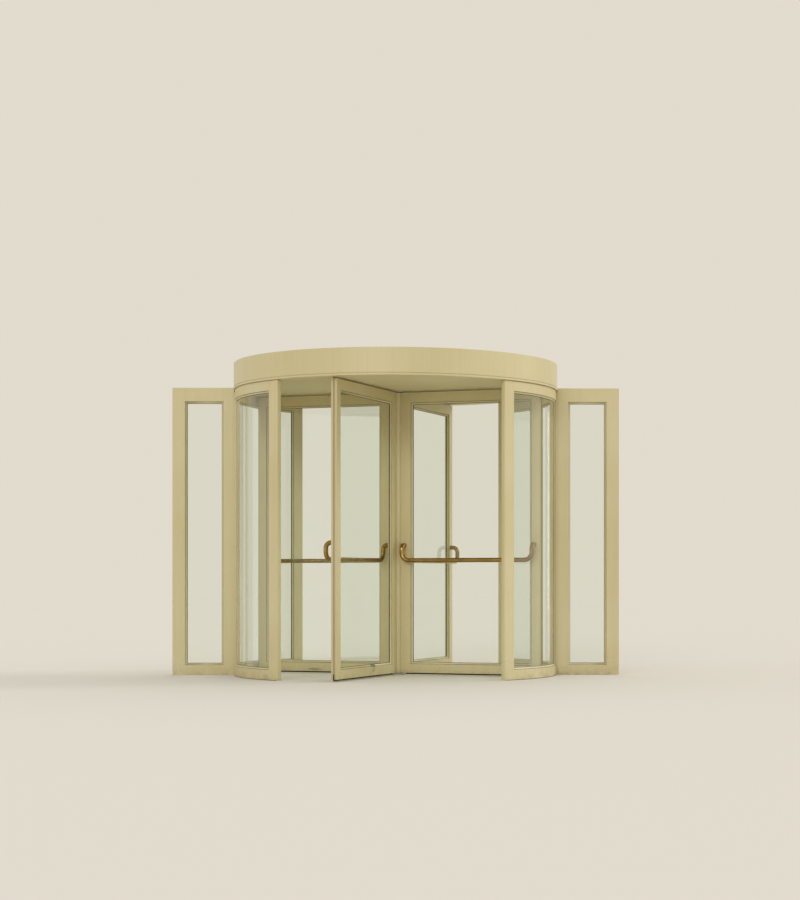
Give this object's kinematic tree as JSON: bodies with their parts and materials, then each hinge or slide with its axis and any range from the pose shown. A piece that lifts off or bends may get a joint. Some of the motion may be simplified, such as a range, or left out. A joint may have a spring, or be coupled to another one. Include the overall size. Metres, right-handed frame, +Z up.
{
  "type": "revolving door",
  "caption": "Revolving door: framed glass wings on a centre post with bent push bars, in a curved glazed drum with two mouths, a round canopy and flat sidelights.",
  "frame": {"origin": "on the floor at the centre of the drum, under the rotor's axis", "axes": "+Z up, +Y into the building, +X to the right seen from outside"},
  "size_m": [3.465, 2.5086, 2.4],
  "materials": {
    "cream_paint": "satin cream powder coat",
    "curved_glass": "clear curved glass, faint green tint",
    "flat_glass": "clear flat glass, faint green tint",
    "bronze": "polished bronze tube",
    "brush_seal": "black brush pile",
    "steel": "brushed"
  },
  "bodies": {
    "drum": {"front_left_post": "cream_paint", "front_right_post": "cream_paint", "rear_left_post": "cream_paint", "rear_right_post": "cream_paint", "left_wall_post": "cream_paint", "right_wall_post": "cream_paint", "front_left_sill": "cream_paint", "front_right_sill": "cream_paint", "rear_left_sill": "cream_paint", "rear_right_sill": "cream_paint", "front_left_head": "cream_paint", "front_right_head": "cream_paint", "rear_left_head": "cream_paint", "rear_right_head": "cream_paint", "front_left_glass": "curved_glass", "front_right_glass": "curved_glass", "rear_left_glass": "curved_glass", "rear_right_glass": "curved_glass", "canopy_front": "cream_paint", "canopy_rear": "cream_paint", "ceiling": "cream_paint", "canopy_cover": "cream_paint", "left_sidelight_frame": "cream_paint", "right_sidelight_frame": "cream_paint", "left_sidelight_glass": "flat_glass", "right_sidelight_glass": "flat_glass", "floor_bearing": "steel", "ceiling_bearing": "steel"},
    "rotor": {"centre_post": "cream_paint", "wing_1_frame": "cream_paint", "wing_2_frame": "cream_paint", "wing_3_frame": "cream_paint", "wing_4_frame": "cream_paint", "wing_1_glass": "flat_glass", "wing_2_glass": "flat_glass", "wing_3_glass": "flat_glass", "wing_4_glass": "flat_glass", "wing_1_seals": "brush_seal", "wing_2_seals": "brush_seal", "wing_3_seals": "brush_seal", "wing_4_seals": "brush_seal", "push_bar_1": "bronze", "push_bar_2": "bronze", "push_bar_3": "bronze", "push_bar_4": "bronze"}
  },
  "joints": [
    {"name": "rotor_turn", "type": "hinge", "parent": "drum", "child": "rotor", "pos_m": [0, 0, 0], "axis": [0, 0, 1], "continuous": true}
  ]
}
